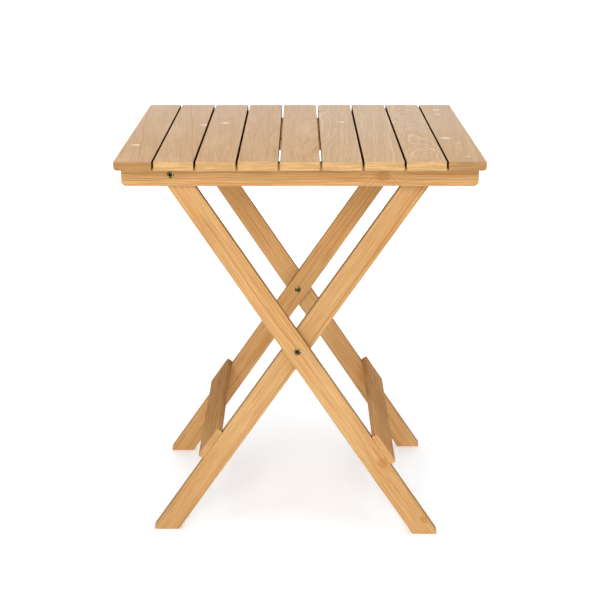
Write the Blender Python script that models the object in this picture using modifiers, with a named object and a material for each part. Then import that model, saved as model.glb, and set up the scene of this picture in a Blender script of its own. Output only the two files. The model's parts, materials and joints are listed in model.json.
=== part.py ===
"""Folding slatted garden table, front facing -Y, standing on Z = 0, sizes in metres.

Two crossed leg frames carry a top of nine slats. The outer frame hangs from the two aprons on
bolts at the left (the hinge axis). The inner frame turns on bolts halfway up the outer legs (the
cross axis). Its top rod carries the right side of the top: it lies under the batten, where a stop
block keeps the legs from spreading.
"""
import math

import bmesh
import bpy
from mathutils import Matrix, Vector

# ---- Driving dimensions --------------------------------------------------------------------
TOP_WIDTH = 0.615
TOP_DEPTH = 0.630
TABLE_HEIGHT = 0.710
FIT = 0.0003                    # gap between pieces that touch

SLAT_COUNT = 9
SLAT_WIDTH = 0.0655             # the two outermost slats take what is left of the width
SLAT_THICKNESS = 0.015
SLAT_GAP = 0.004
SLAT_OUTER_RADIUS = 0.006       # rounding under the outer edge of the top

APRON_LENGTH = 0.608
APRON_HEIGHT = 0.040
APRON_THICKNESS = 0.018
APRON_SETBACK = 0.070           # from the ends of the slats
APRON_CORNER = 0.009

BATTEN_RIGHT = 0.270
BATTEN_HINGE_GAP = 0.0135       # the batten stops this far from the hinge axis, clear of the rod
BATTEN_HEIGHT = 0.020
BATTEN_WIDTH = 0.030

LEG_WIDTH = 0.040
LEG_THICKNESS = 0.020
LEG_END_RADIUS = 0.0195
LEG_TIP_CLIP = 0.004            # the pointed corner of each foot is cut off upright
LEG_HEEL_RADIUS = 0.002

HINGE_X = -0.220
HINGE_CLEARANCE = 0.0005        # between the outer legs' round ends and the slats
CROSS_X = -0.0045
CROSS_Z = 0.352
INNER_LEAN = math.radians(34.7)

STRETCHER_WIDTH = 0.063
STRETCHER_THICKNESS = 0.012
STRETCHER_BELOW_CROSS = 0.241   # centre of the board, along the leg
STRETCHER_EDGE_RADIUS = 0.0025

ROD_RADIUS = 0.0075
ROD_DROP = 0.0050               # below the middle of the inner legs' round ends, along the legs
ROD_SOCKET_DEPTH = 0.014
STOP_LENGTH = 0.024
STOP_HEIGHT = 0.014
STOP_WIDTH = 0.026

BOLT_RADIUS = 0.0030
BOLT_HEAD_RADIUS = 0.0060
BOLT_HEAD = 0.0014
HEAD_CHAMFER = 0.0006
BOLT_HOLE = 0.030               # length of a cutter that goes right through one board
SOCKET_RADIUS = 0.0021
SOCKET_DEPTH = 0.0028
NUT_SLEEVE_RADIUS = 0.00425
NUT_SLEEVE = 0.012
HINGE_WASHER = 0.0014
CROSS_WASHER = 0.0010
WASHER_RADIUS = 0.0085

SCREW_RADIUS = 0.0020
SCREW_HEAD_RADIUS = 0.0038
SCREW_HEAD = 0.0030
SCREW_LENGTH = 0.036
SCREW_COUNTERBORE = 0.014
SCREW_HOLE_DEPTH = 0.0105       # in a slat
SCREW_SHIFT = 0.012             # keeps the screws beside the hinge bolts clear of them

DOWEL_RADIUS = 0.0040
DOWEL_IN_LEG = 0.018
DOWEL_IN_STRETCHER = 0.008
DOWEL_SPACING = 0.032

EDGE_CHAMFER = 0.0007
CHAMFER_ABOVE = math.radians(50.0)
SHARP_ABOVE = math.radians(40.0)
ROUND_SIDES = 16
SMALL_SIDES = 10
WELD = 0.00002
WOOD_ROUGHNESS = 0.55
METAL_ROUGHNESS = 0.35

# ---- Places that follow from them -----------------------------------------------------------
UNDERSIDE_Z = TABLE_HEIGHT - SLAT_THICKNESS
APRON_TOP_Z = UNDERSIDE_Z - FIT
APRON_BOTTOM_Z = APRON_TOP_Z - APRON_HEIGHT
BATTEN_BOTTOM_Z = APRON_TOP_Z - BATTEN_HEIGHT
HINGE_Z = UNDERSIDE_Z - LEG_WIDTH / 2 - HINGE_CLEARANCE
SLAT_PITCH = SLAT_WIDTH + SLAT_GAP
OUTER_SLAT_WIDTH = (TOP_WIDTH - (SLAT_COUNT - 2) * SLAT_WIDTH - (SLAT_COUNT - 1) * SLAT_GAP) / 2

# Distances from the middle of the table to the faces of the pieces at its front and rear ends
APRON_OUT = TOP_DEPTH / 2 - APRON_SETBACK
APRON_IN = APRON_OUT - APRON_THICKNESS
OUTER_LEG_OUT = APRON_IN - HINGE_WASHER - 2 * FIT
OUTER_LEG_IN = OUTER_LEG_OUT - LEG_THICKNESS
INNER_LEG_OUT = OUTER_LEG_IN - CROSS_WASHER - 2 * FIT
INNER_LEG_IN = INNER_LEG_OUT - LEG_THICKNESS

OUTER_LEAN = -math.atan2(CROSS_X - HINGE_X, HINGE_Z - CROSS_Z)
LEG_ABOVE_CROSS = math.hypot(CROSS_X - HINGE_X, HINGE_Z - CROSS_Z)
ROD_ABOVE_CROSS = LEG_ABOVE_CROSS - ROD_DROP
ROD_X = CROSS_X + ROD_ABOVE_CROSS * math.sin(INNER_LEAN)
ROD_Z = CROSS_Z + ROD_ABOVE_CROSS * math.cos(INNER_LEAN)

# ---- Materials ------------------------------------------------------------------------------
PALE_TOP = (0.64, 0.43, 0.27)
PINE = (0.73, 0.42, 0.17)
SHADED_PINE = (0.58, 0.33, 0.13)
BEECH = (0.62, 0.45, 0.28)
YELLOW_ZINC = (0.56, 0.45, 0.17)
ZINC = (0.60, 0.60, 0.58)


def start_scene():
    for leftover in list(bpy.data.objects):
        bpy.data.objects.remove(leftover, do_unlink=True)
    for name in ("folding_table", "cutters"):
        collection = bpy.data.collections.new(name)
        bpy.context.scene.collection.children.link(collection)


def add_object(name, mesh, parent, collection="folding_table"):
    thing = bpy.data.objects.new(name, mesh)
    bpy.data.collections[collection].objects.link(thing)
    thing.parent = parent
    return thing


def add_axis(name, x, z, turn=0.0):
    """An empty on a joint axis, which runs along Y; its own Z axis leans by turn."""
    axis = add_object(name, None, None)
    axis.location = (x, 0.0, z)
    axis.rotation_euler = (0.0, turn, 0.0)
    return axis


def finish_with(thing, colour, metallic=0.0, roughness=WOOD_ROUGHNESS):
    material = bpy.data.materials.new(thing.name + "_material")
    material.use_nodes = True
    shader = material.node_tree.nodes["Principled BSDF"]
    shader.inputs["Base Color"].default_value = (*colour, 1.0)
    shader.inputs["Metallic"].default_value = metallic
    shader.inputs["Roughness"].default_value = roughness
    thing.data.materials.append(material)


def shade_round(mesh):
    mesh.shade_smooth()
    mesh.set_sharp_from_angle(angle=SHARP_ABOVE)


# ---- Shapes ---------------------------------------------------------------------------------
def arc(centre_x, centre_z, radius, start_deg, end_deg, steps):
    points = []
    for step in range(steps + 1):
        angle = math.radians(start_deg + (end_deg - start_deg) * step / steps)
        points.append((centre_x + radius * math.cos(angle), centre_z + radius * math.sin(angle)))
    return points


def rounded(corners, steps=6):
    """Outline through (x, z, radius) corners, with each corner rounded to its radius."""
    points = []
    for index, (x, z, radius) in enumerate(corners):
        corner = Vector((x, z))
        if radius == 0.0:
            points.append((x, z))
            continue
        back = (Vector(corners[index - 1][:2]) - corner).normalized()
        ahead = (Vector(corners[(index + 1) % len(corners)][:2]) - corner).normalized()
        half_angle = back.angle(ahead) / 2
        centre = corner + (back + ahead).normalized() * radius / math.sin(half_angle)
        first = corner + back * radius / math.tan(half_angle) - centre
        last = corner + ahead * radius / math.tan(half_angle) - centre
        first_deg = math.degrees(math.atan2(first.y, first.x))
        last_deg = math.degrees(math.atan2(last.y, last.x))
        sweep = (last_deg - first_deg + 180.0) % 360.0 - 180.0
        points += arc(centre.x, centre.y, radius, first_deg, first_deg + sweep, steps)
    return points


def board(name, outline, thickness, colour, parent, place=(0.0, 0.0, 0.0), chamfer=EDGE_CHAMFER):
    """A board with its outline in the XZ plane and its thickness centred on Y."""
    curve = bpy.data.curves.new(name + "_outline", "CURVE")
    curve.dimensions = "2D"
    curve.fill_mode = "BOTH"
    curve.extrude = thickness / 2
    spline = curve.splines.new("POLY")
    spline.points.add(len(outline) - 1)
    spline.use_cyclic_u = True
    for point, (x, z) in zip(spline.points, outline):
        point.co = (x, z, 0.0, 1.0)
    flat = bpy.data.objects.new(name + "_outline", curve)
    bpy.context.scene.collection.objects.link(flat)
    evaluated = flat.evaluated_get(bpy.context.evaluated_depsgraph_get())
    mesh = bpy.data.meshes.new_from_object(evaluated)
    bpy.data.objects.remove(flat, do_unlink=True)
    bpy.data.curves.remove(curve)

    shape = bmesh.new()
    shape.from_mesh(mesh)
    bmesh.ops.remove_doubles(shape, verts=shape.verts, dist=WELD)
    bmesh.ops.transform(shape, matrix=Matrix.Rotation(math.pi / 2, 4, "X"), verts=shape.verts)
    bmesh.ops.dissolve_limit(shape, angle_limit=0.001, verts=shape.verts, edges=shape.edges)
    bmesh.ops.recalc_face_normals(shape, faces=shape.faces)
    shape.to_mesh(mesh)
    shape.free()
    mesh.name = name
    thing = add_object(name, mesh, parent)
    thing.location = place
    if chamfer:
        eased = thing.modifiers.new("eased_edges", "BEVEL")
        eased.width = chamfer
        eased.segments = 1
        eased.limit_method = "ANGLE"
        eased.angle_limit = CHAMFER_ABOVE
    finish_with(thing, colour)
    return thing


def box_outline(low_x, high_x, low_z, high_z, radius=0.0):
    corners = [(low_x, low_z), (high_x, low_z), (high_x, high_z), (low_x, high_z)]
    return rounded([(x, z, radius) for x, z in corners], steps=3)


def cylinder(shape, centre, axis, radius, length, sides):
    turn = {"X": Matrix.Rotation(math.pi / 2, 4, "Y"), "Y": Matrix.Rotation(math.pi / 2, 4, "X"),
            "Z": Matrix.Identity(4)}[axis]
    bmesh.ops.create_cone(shape, cap_ends=True, segments=sides, radius1=radius, radius2=radius,
                          depth=length, matrix=Matrix.Translation(centre) @ turn)


def peg(name, axis, radius, length, sides, parent, place):
    """A plain wooden pin, centred on its place."""
    shape = bmesh.new()
    cylinder(shape, (0.0, 0.0, 0.0), axis, radius, length, sides)
    mesh = bpy.data.meshes.new(name)
    shape.to_mesh(mesh)
    shape.free()
    shade_round(mesh)
    thing = add_object(name, mesh, parent)
    thing.location = place
    finish_with(thing, BEECH)


def drill(thing, label, holes):
    """Cut holes that don't touch one another, each (centre, axis, radius, length, sides)."""
    shape = bmesh.new()
    for hole in holes:
        cylinder(shape, *hole)
    mesh = bpy.data.meshes.new(thing.name + "_" + label)
    shape.to_mesh(mesh)
    shape.free()
    cutter = add_object(mesh.name, mesh, thing, "cutters")
    cutter.hide_render = True
    cutter.display_type = "WIRE"
    cut = thing.modifiers.new(label, "BOOLEAN")
    cut.operation = "DIFFERENCE"
    cut.solver = "EXACT"
    cut.object = cutter


def turned(name, profile, colour, parent, place, turn, ring=False, sides=ROUND_SIDES):
    """A turned metal piece from (radius, height) points that run down its outer side.

    A ring's profile closes on itself; any other starts and ends on the axis.
    """
    mesh = bpy.data.meshes.new(name)
    edges = [(index, index + 1) for index in range(len(profile) - 1)]
    if ring:
        edges.append((len(profile) - 1, 0))
    mesh.from_pydata([(radius, 0.0, height) for radius, height in profile], edges, [])
    thing = add_object(name, mesh, parent)
    thing.location = place
    thing.rotation_euler = turn
    lathe = thing.modifiers.new("lathe", "SCREW")
    lathe.steps = sides
    lathe.render_steps = sides
    lathe.use_merge_vertices = True
    lathe.merge_threshold = WELD
    evaluated = thing.evaluated_get(bpy.context.evaluated_depsgraph_get())
    solid = bpy.data.meshes.new_from_object(evaluated)
    thing.modifiers.remove(lathe)
    thing.data = solid
    bpy.data.meshes.remove(mesh)
    solid.name = name
    shade_round(solid)
    finish_with(thing, colour, metallic=1.0, roughness=METAL_ROUGHNESS)


# ---- Table top ------------------------------------------------------------------------------
def slat_span(index):
    """Left and right sides of a slat, counted from 0 at the left."""
    middle = (index - (SLAT_COUNT - 1) / 2) * SLAT_PITCH
    left = middle - SLAT_WIDTH / 2
    right = middle + SLAT_WIDTH / 2
    if index == 0:
        left = right - OUTER_SLAT_WIDTH
    if index == SLAT_COUNT - 1:
        right = left + OUTER_SLAT_WIDTH
    return left, right


def screw_x(index):
    """Where a slat's two screws are, in its middle unless a hinge bolt is in the way."""
    left, right = slat_span(index)
    middle = (left + right) / 2
    return middle + SCREW_SHIFT if left < HINGE_X < right else middle


def add_slats(top):
    for index in range(SLAT_COUNT):
        left, right = slat_span(index)
        middle = (left + right) / 2
        half = (right - left) / 2
        left_radius = SLAT_OUTER_RADIUS if index == 0 else 0.0
        right_radius = SLAT_OUTER_RADIUS if index == SLAT_COUNT - 1 else 0.0
        outline = rounded([(-half, -SLAT_THICKNESS / 2, left_radius),
                           (half, -SLAT_THICKNESS / 2, right_radius),
                           (half, SLAT_THICKNESS / 2, 0.0),
                           (-half, SLAT_THICKNESS / 2, 0.0)])
        place = (middle - HINGE_X, 0.0, TABLE_HEIGHT - SLAT_THICKNESS / 2 - HINGE_Z)
        slat = board(f"slat_{index + 1}", outline, TOP_DEPTH, PALE_TOP, top, place)
        screw_y = (APRON_OUT + APRON_IN) / 2
        holes = [((screw_x(index) - middle, side * screw_y, -SLAT_THICKNESS / 2), "Z",
                  SCREW_RADIUS + FIT, 2 * SCREW_HOLE_DEPTH, SMALL_SIDES) for side in (-1, 1)]
        drill(slat, "screw_holes", holes)


def add_apron(name, side, top):
    half = APRON_LENGTH / 2
    middle_z = (APRON_TOP_Z + APRON_BOTTOM_Z) / 2
    outline = rounded([(-half, -APRON_HEIGHT / 2, APRON_CORNER),
                       (half, -APRON_HEIGHT / 2, APRON_CORNER),
                       (half, APRON_HEIGHT / 2, 0.0),
                       (-half, APRON_HEIGHT / 2, 0.0)])
    middle_y = side * (APRON_OUT + APRON_IN) / 2
    place = (-HINGE_X, middle_y, middle_z - HINGE_Z)
    apron = board(name, outline, APRON_THICKNESS, PINE, top, place)
    bolt_hole = ((HINGE_X, 0.0, HINGE_Z - middle_z), "Y", BOLT_RADIUS + FIT, BOLT_HOLE, ROUND_SIDES)
    drill(apron, "bolt_hole", [bolt_hole])
    spots = [screw_x(index) for index in range(SLAT_COUNT)]
    drill(apron, "counterbores", [((x, 0.0, -APRON_HEIGHT / 2), "Z", SCREW_HEAD_RADIUS + 2 * FIT,
                                   2 * SCREW_COUNTERBORE, SMALL_SIDES) for x in spots])
    drill(apron, "screw_holes", [((x, 0.0, 0.0), "Z", SCREW_RADIUS + FIT, 2 * APRON_HEIGHT,
                                  SMALL_SIDES) for x in spots])


def add_slat_screw(name, index, side, top):
    profile = [(0.0, SCREW_LENGTH),
               (SCREW_RADIUS, SCREW_LENGTH - 2 * SCREW_RADIUS),
               (SCREW_RADIUS, 0.0),
               (SCREW_HEAD_RADIUS, 0.0),
               (SCREW_HEAD_RADIUS, -SCREW_HEAD),
               (0.0, -SCREW_HEAD)]
    middle_y = side * (APRON_OUT + APRON_IN) / 2
    under_head_z = APRON_BOTTOM_Z + SCREW_COUNTERBORE - FIT
    place = (screw_x(index) - HINGE_X, middle_y, under_head_z - HINGE_Z)
    turned(name, profile, ZINC, top, place, (0.0, 0.0, 0.0), sides=SMALL_SIDES)


def add_block(name, low_x, high_x, low_z, high_z, width, top):
    """A block under the top, across its middle, given by its edges in the table's own frame."""
    outline = box_outline(low_x - HINGE_X, high_x - HINGE_X, low_z - HINGE_Z, high_z - HINGE_Z)
    board(name, outline, width, PINE, top)


def add_middle_supports(top):
    """The batten under the middle of the slats, and the block under it that stops the rod."""
    add_block("middle_batten", HINGE_X + BATTEN_HINGE_GAP, BATTEN_RIGHT, BATTEN_BOTTOM_Z,
              APRON_TOP_Z, BATTEN_WIDTH, top)
    high = BATTEN_BOTTOM_Z - FIT
    stop_x = ROD_X + ROD_RADIUS + 2 * FIT
    add_block("stop_block", stop_x, stop_x + STOP_LENGTH, high - STOP_HEIGHT, high, STOP_WIDTH, top)


# ---- Leg frames -----------------------------------------------------------------------------
def leg_outline(lean):
    """A leg along its own Z axis, with the cross axis at 0 and the foot cut level."""
    half = LEG_WIDTH / 2
    end = LEG_ABOVE_CROSS + LEG_END_RADIUS
    lean_sign = math.copysign(1.0, lean)
    tip_x = -lean_sign * half

    def floor_at(x):
        return (x * math.sin(lean) - CROSS_Z) / math.cos(lean)

    clip_x = tip_x + lean_sign * LEG_TIP_CLIP * math.cos(lean)
    clip_rise = LEG_TIP_CLIP * math.cos(lean) / abs(math.sin(lean))
    corners = [(-tip_x, end, LEG_END_RADIUS),
               (tip_x, end, LEG_END_RADIUS),
               (tip_x, floor_at(clip_x) + clip_rise * math.cos(lean), 0.0),
               (clip_x, floor_at(clip_x), 0.0),
               (-tip_x, floor_at(-tip_x), LEG_HEEL_RADIUS)]
    return rounded(corners, steps=7)


def dowel_spots():
    middle = -STRETCHER_BELOW_CROSS
    return [middle - DOWEL_SPACING / 2, middle + DOWEL_SPACING / 2]


def drill_dowel_holes(leg, edge_side):
    edge = edge_side * LEG_WIDTH / 2
    holes = [((edge, 0.0, z), "X", DOWEL_RADIUS + FIT, 2 * (DOWEL_IN_LEG + FIT), SMALL_SIDES)
             for z in dowel_spots()]
    drill(leg, "dowel_holes", holes)


def add_outer_leg(name, side, frame):
    place = (0.0, side * (OUTER_LEG_OUT + OUTER_LEG_IN) / 2, 0.0)
    leg = board(name, leg_outline(OUTER_LEAN), LEG_THICKNESS, PINE, frame, place)
    hinge = LEG_ABOVE_CROSS
    inner_face = -side * LEG_THICKNESS / 2
    bolt = BOLT_RADIUS + FIT
    drill(leg, "bolt_holes", [((0.0, 0.0, 0.0), "Y", bolt, BOLT_HOLE, ROUND_SIDES),
                              ((0.0, 0.0, hinge), "Y", bolt, BOLT_HOLE, ROUND_SIDES)])
    drill(leg, "sleeve_hole", [((0.0, inner_face, hinge), "Y", NUT_SLEEVE_RADIUS + FIT,
                                2 * (NUT_SLEEVE + 2 * BOLT_HEAD), ROUND_SIDES)])
    drill(leg, "flange_recess", [((0.0, inner_face, hinge), "Y", BOLT_HEAD_RADIUS + FIT,
                                  2 * (BOLT_HEAD + 2 * FIT), ROUND_SIDES)])
    drill_dowel_holes(leg, 1)


def add_inner_leg(name, side, frame):
    place = (0.0, side * (INNER_LEG_OUT + INNER_LEG_IN) / 2, 0.0)
    leg = board(name, leg_outline(INNER_LEAN), LEG_THICKNESS, SHADED_PINE, frame, place)
    inner_face = -side * LEG_THICKNESS / 2
    drill(leg, "bolt_hole", [((0.0, 0.0, 0.0), "Y", BOLT_RADIUS + FIT, BOLT_HOLE, ROUND_SIDES)])
    drill(leg, "sleeve_hole", [((0.0, inner_face, 0.0), "Y", NUT_SLEEVE_RADIUS + FIT,
                                2 * (NUT_SLEEVE + BOLT_HEAD), ROUND_SIDES)])
    drill(leg, "rod_socket", [((0.0, inner_face, ROD_ABOVE_CROSS), "Y", ROD_RADIUS + FIT,
                               2 * ROD_SOCKET_DEPTH, ROUND_SIDES)])
    drill_dowel_holes(leg, -1)


def add_stretcher(name, edge_side, half_length, leg_middle, frame):
    """A board across the edges of two legs, flush with their outer faces."""
    near = edge_side * (LEG_WIDTH / 2 + FIT)
    middle_x = near + edge_side * STRETCHER_THICKNESS / 2
    outline = box_outline(-STRETCHER_THICKNESS / 2, STRETCHER_THICKNESS / 2,
                          -STRETCHER_WIDTH / 2, STRETCHER_WIDTH / 2, STRETCHER_EDGE_RADIUS)
    place = (middle_x, 0.0, -STRETCHER_BELOW_CROSS)
    stretcher = board(name, outline, 2 * half_length, SHADED_PINE, frame, place, chamfer=0.0)
    near_face = near - middle_x
    holes = [((near_face, side * leg_middle, z + STRETCHER_BELOW_CROSS), "X", DOWEL_RADIUS + FIT,
              2 * (DOWEL_IN_STRETCHER + FIT), SMALL_SIDES)
             for side in (-1, 1) for z in dowel_spots()]
    drill(stretcher, "dowel_holes", holes)


def add_dowels(prefix, edge_side, leg_middle, frame):
    """Four wooden dowels, two in each joint between a leg and the stretcher."""
    length = DOWEL_IN_LEG + DOWEL_IN_STRETCHER
    edge = edge_side * LEG_WIDTH / 2
    middle_x = edge + edge_side * (DOWEL_IN_STRETCHER - DOWEL_IN_LEG + FIT) / 2
    spots = [(side, z) for side in (-1, 1) for z in dowel_spots()]
    for number, (side, z) in enumerate(spots, start=1):
        peg(f"{prefix}_dowel_{number}", "X", DOWEL_RADIUS, length, SMALL_SIDES, frame,
            (middle_x, side * leg_middle, z))


def add_top_rod(frame):
    half = INNER_LEG_IN + ROD_SOCKET_DEPTH - FIT
    peg("top_rod", "Y", ROD_RADIUS, 2 * half, ROUND_SIDES, frame, (0.0, 0.0, ROD_ABOVE_CROSS))


# ---- Pivot hardware -------------------------------------------------------------------------
def facing(side):
    """Turns a lathe's Z axis to point out of the front (-1) or the rear (1) of the table."""
    return (-side * math.pi / 2, 0.0, 0.0)


def add_bolt(name, side, face, length, axis):
    """A low-headed socket bolt; face is how far out the face under its head is."""
    profile = [(0.0, BOLT_HEAD - SOCKET_DEPTH),
               (SOCKET_RADIUS, BOLT_HEAD - SOCKET_DEPTH),
               (SOCKET_RADIUS, BOLT_HEAD),
               (BOLT_HEAD_RADIUS - HEAD_CHAMFER, BOLT_HEAD),
               (BOLT_HEAD_RADIUS, BOLT_HEAD - HEAD_CHAMFER),
               (BOLT_HEAD_RADIUS, 0.0),
               (BOLT_RADIUS, 0.0),
               (BOLT_RADIUS, -length),
               (0.0, -length)]
    turned(name, profile, YELLOW_ZINC, axis, (0.0, side * (face + FIT), 0.0), facing(side))


def add_nut(name, side, face, axis):
    """A sleeve nut facing inward; face is how far out the face under its flange is."""
    profile = [(BOLT_RADIUS + FIT, BOLT_HEAD),
               (BOLT_HEAD_RADIUS - HEAD_CHAMFER, BOLT_HEAD),
               (BOLT_HEAD_RADIUS, BOLT_HEAD - HEAD_CHAMFER),
               (BOLT_HEAD_RADIUS, 0.0),
               (NUT_SLEEVE_RADIUS, 0.0),
               (NUT_SLEEVE_RADIUS, -NUT_SLEEVE),
               (BOLT_RADIUS + FIT, -NUT_SLEEVE)]
    turned(name, profile, YELLOW_ZINC, axis, (0.0, side * (face - FIT), 0.0), facing(-side),
           ring=True)


def add_washer(name, side, inner, thickness, axis):
    """A washer; inner is how far out its inward face is."""
    hole = BOLT_RADIUS + 2 * FIT
    profile = [(hole, thickness), (WASHER_RADIUS, thickness), (WASHER_RADIUS, 0.0), (hole, 0.0)]
    turned(name, profile, YELLOW_ZINC, axis, (0.0, side * inner, 0.0), facing(side), ring=True)


def add_hardware(end, side, top, cross):
    recess = BOLT_HEAD + 2 * FIT
    hinge_reach = APRON_OUT - OUTER_LEG_IN - recess
    add_bolt(f"hinge_bolt_{end}", side, APRON_OUT, hinge_reach, top)
    add_nut(f"hinge_nut_{end}", side, OUTER_LEG_IN + recess, top)
    add_washer(f"hinge_washer_{end}", side, OUTER_LEG_OUT + FIT, HINGE_WASHER, top)
    cross_reach = OUTER_LEG_OUT - INNER_LEG_IN - BOLT_HEAD
    add_bolt(f"cross_bolt_{end}", side, OUTER_LEG_OUT, cross_reach, cross)
    add_nut(f"cross_nut_{end}", side, INNER_LEG_IN, cross)
    add_washer(f"cross_washer_{end}", side, INNER_LEG_OUT + FIT, CROSS_WASHER, cross)


def main():
    start_scene()
    outer_frame = add_axis("outer_frame", CROSS_X, CROSS_Z, OUTER_LEAN)
    inner_frame = add_axis("inner_frame", CROSS_X, CROSS_Z, INNER_LEAN)
    table_top = add_axis("table_top", HINGE_X, HINGE_Z)

    add_slats(table_top)
    add_middle_supports(table_top)
    outer_middle = (OUTER_LEG_OUT + OUTER_LEG_IN) / 2
    inner_middle = (INNER_LEG_OUT + INNER_LEG_IN) / 2
    add_stretcher("outer_stretcher", 1, OUTER_LEG_OUT, outer_middle, outer_frame)
    add_stretcher("inner_stretcher", -1, INNER_LEG_OUT, inner_middle, inner_frame)
    add_dowels("outer", 1, outer_middle, outer_frame)
    add_dowels("inner", -1, inner_middle, inner_frame)
    add_top_rod(inner_frame)
    for end, side in (("front", -1), ("rear", 1)):
        add_apron(f"apron_{end}", side, table_top)
        for index in range(SLAT_COUNT):
            add_slat_screw(f"slat_screw_{end}_{index + 1}", index, side, table_top)
        add_outer_leg(f"outer_leg_{end}", side, outer_frame)
        add_inner_leg(f"inner_leg_{end}", side, inner_frame)
        add_hardware(end, side, table_top, outer_frame)


main()
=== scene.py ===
"""Looks of the folding slatted garden table: oiled pine, yellow zinc pivots, studio light."""
import json
import math
import random

import bmesh
import bpy
from mathutils import Matrix, Vector


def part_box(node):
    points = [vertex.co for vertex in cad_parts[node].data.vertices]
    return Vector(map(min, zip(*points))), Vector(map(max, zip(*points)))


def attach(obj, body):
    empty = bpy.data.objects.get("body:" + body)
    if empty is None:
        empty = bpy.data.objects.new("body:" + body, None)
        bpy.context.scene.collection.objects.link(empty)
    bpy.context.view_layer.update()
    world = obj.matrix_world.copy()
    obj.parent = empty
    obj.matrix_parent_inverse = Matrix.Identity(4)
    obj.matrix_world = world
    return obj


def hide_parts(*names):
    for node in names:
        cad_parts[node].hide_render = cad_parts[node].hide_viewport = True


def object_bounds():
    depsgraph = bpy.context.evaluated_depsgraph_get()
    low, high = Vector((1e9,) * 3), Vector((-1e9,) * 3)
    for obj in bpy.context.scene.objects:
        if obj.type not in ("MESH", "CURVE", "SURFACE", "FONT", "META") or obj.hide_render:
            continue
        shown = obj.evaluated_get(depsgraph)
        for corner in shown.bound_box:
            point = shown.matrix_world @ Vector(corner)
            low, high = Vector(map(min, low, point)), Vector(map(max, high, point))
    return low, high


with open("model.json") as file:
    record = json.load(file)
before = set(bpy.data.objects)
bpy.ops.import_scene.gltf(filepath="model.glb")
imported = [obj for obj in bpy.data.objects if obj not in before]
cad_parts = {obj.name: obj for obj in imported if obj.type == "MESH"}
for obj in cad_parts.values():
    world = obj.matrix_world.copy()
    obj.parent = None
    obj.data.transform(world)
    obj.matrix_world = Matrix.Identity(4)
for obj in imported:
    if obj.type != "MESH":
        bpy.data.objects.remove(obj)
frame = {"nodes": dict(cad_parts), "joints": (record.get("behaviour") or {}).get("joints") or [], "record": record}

cad_box = [list(corner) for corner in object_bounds()]
top_width = cad_box[1][0] - cad_box[0][0]
record = frame["record"]
draw = random.Random(7)

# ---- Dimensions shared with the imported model, in metres ----------------------------------------
FIT = 0.0003                      # clearance round a pin or a screw
LEG_WIDTH = 0.040
LEG_END_RADIUS = 0.0195
LEG_TIP_CLIP = 0.004
HEEL_RADIUS = 0.002
INNER_LEAN_DEG = 34.7
STRETCHER_THICKNESS = 0.012
STRETCHER_WIDTH = 0.063
STRETCHER_BELOW = 0.241           # down the leg, from the cross bolt to the stretcher's middle
BOLT_RADIUS = 0.0030
SLEEVE_RADIUS = 0.00425
SLEEVE_LENGTH = 0.012
HEAD_RADIUS = 0.0060
HEAD_HEIGHT = 0.0014
WASHER_RADIUS = 0.0085
ROD_RADIUS = 0.0075
ROD_SOCKET = 0.014
COUNTERBORE_RADIUS = 0.0044
COUNTERBORE_DEPTH = 0.014
SCREW_RADIUS = 0.0020
SCREW_HEAD_RADIUS = 0.0038

# ---- Finer shapes, in metres -------------------------------------------------------------------
SLAT_EASE = 0.0004
HAIR = 0.00001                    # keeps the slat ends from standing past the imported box
CLOSE = 0.0001                    # points nearer than this are at the same place
GAP_TRIM = 0.0004                 # each slat edge stands this much into the gap
BOARD_EASE = 0.0010
STOP_EASE = 0.0016
LEG_EASE = 0.0011
STRETCHER_EASE = 0.0026           # along a stretcher's long edges
STRETCHER_END_EASE = 0.0009
PLAN_RADIUS = 0.0045              # outer corners of the top, seen from above
UNDER_RADIUS = 0.0058             # under the outer edges of the top
APRON_CORNER = 0.0088
OUTER_EDGE_MARGIN = 0.020         # slat edges this near the outside of the top are not in a gap
ROD_EASE = 0.001
WASHER_EASE = 0.0002
HEAD_RIM = 0.0010                 # rounding at the rim of a bolt's or nut's head
HEAD_RIM_START = 0.0014           # where the rounding starts, in from the rim
BOLT_TIP_EASE = 0.0005
HEX_FLOOR_RADIUS = 0.0036
HEX_MOUTH_RADIUS = 0.0038
HEX_DEPTH = 0.0034
HEX_SHADE_RADIUS = 0.0040          # faces within this radius and above this height are the socket, which gets painted shade
HEX_SHADE_FLOOR = -0.0026
PAN_HEIGHT = 0.0030
PAN_CROWN_RADIUS = 0.0024
PAN_ROUNDING = 0.0014
PAN_ROUNDING_HEIGHT = 0.0016
SUNK_HEAD_RIM = 0.0003
SUNK_HEAD_DEPTH = 0.0024
THREAD_PITCH = 0.0012
THREAD_START = 0.003
THREAD_ROOT = 0.78                # root and tip radius, as shares of the screw's radius
THREAD_TIP = 0.7
THREAD_RISE = 0.35                # share of a turn from root to crest
CROSS_SLOT = (0.0040, 0.0009, 0.0034)
CROSS_TAPER = 0.45
BATTEN_SCREW_LENGTH = 0.028
BATTEN_SCREW_PROUD = 0.00005
BATTEN_SCREW_SPACE = 0.012        # least width of slat above the batten that takes a screw
STOP_MARGIN = 0.006
STOP_SCREW_OFFSET = 0.007

EASE_SEGMENTS = 3
LONG_EDGE_SEGMENTS = 5
PLAN_SEGMENTS = 6
ROUND_SIDES = 48
SCREW_HOLE_SIDES = 24
SCREW_SIDES = 20
CUTTER_PROUD = 0.002              # how far a cutter stands out of the face it goes into
THROUGH = 0.03                    # long enough to go right through a leg or an apron
THREAD_THROUGH = 0.02
WASHER_THROUGH = 0.01
COUNTERBORE_THROUGH = 0.05
SCREW_HOLE_EXTRA = 0.001
SHARP = math.radians(35.0)


def body_of_node(node):
    return next(body for body, nodes in record["behaviour"]["bodies"].items() if node in nodes)


def joint_place(name):
    return next(Vector(joint["pos_m"]) for joint in frame["joints"] if joint["name"] == name)


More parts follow.
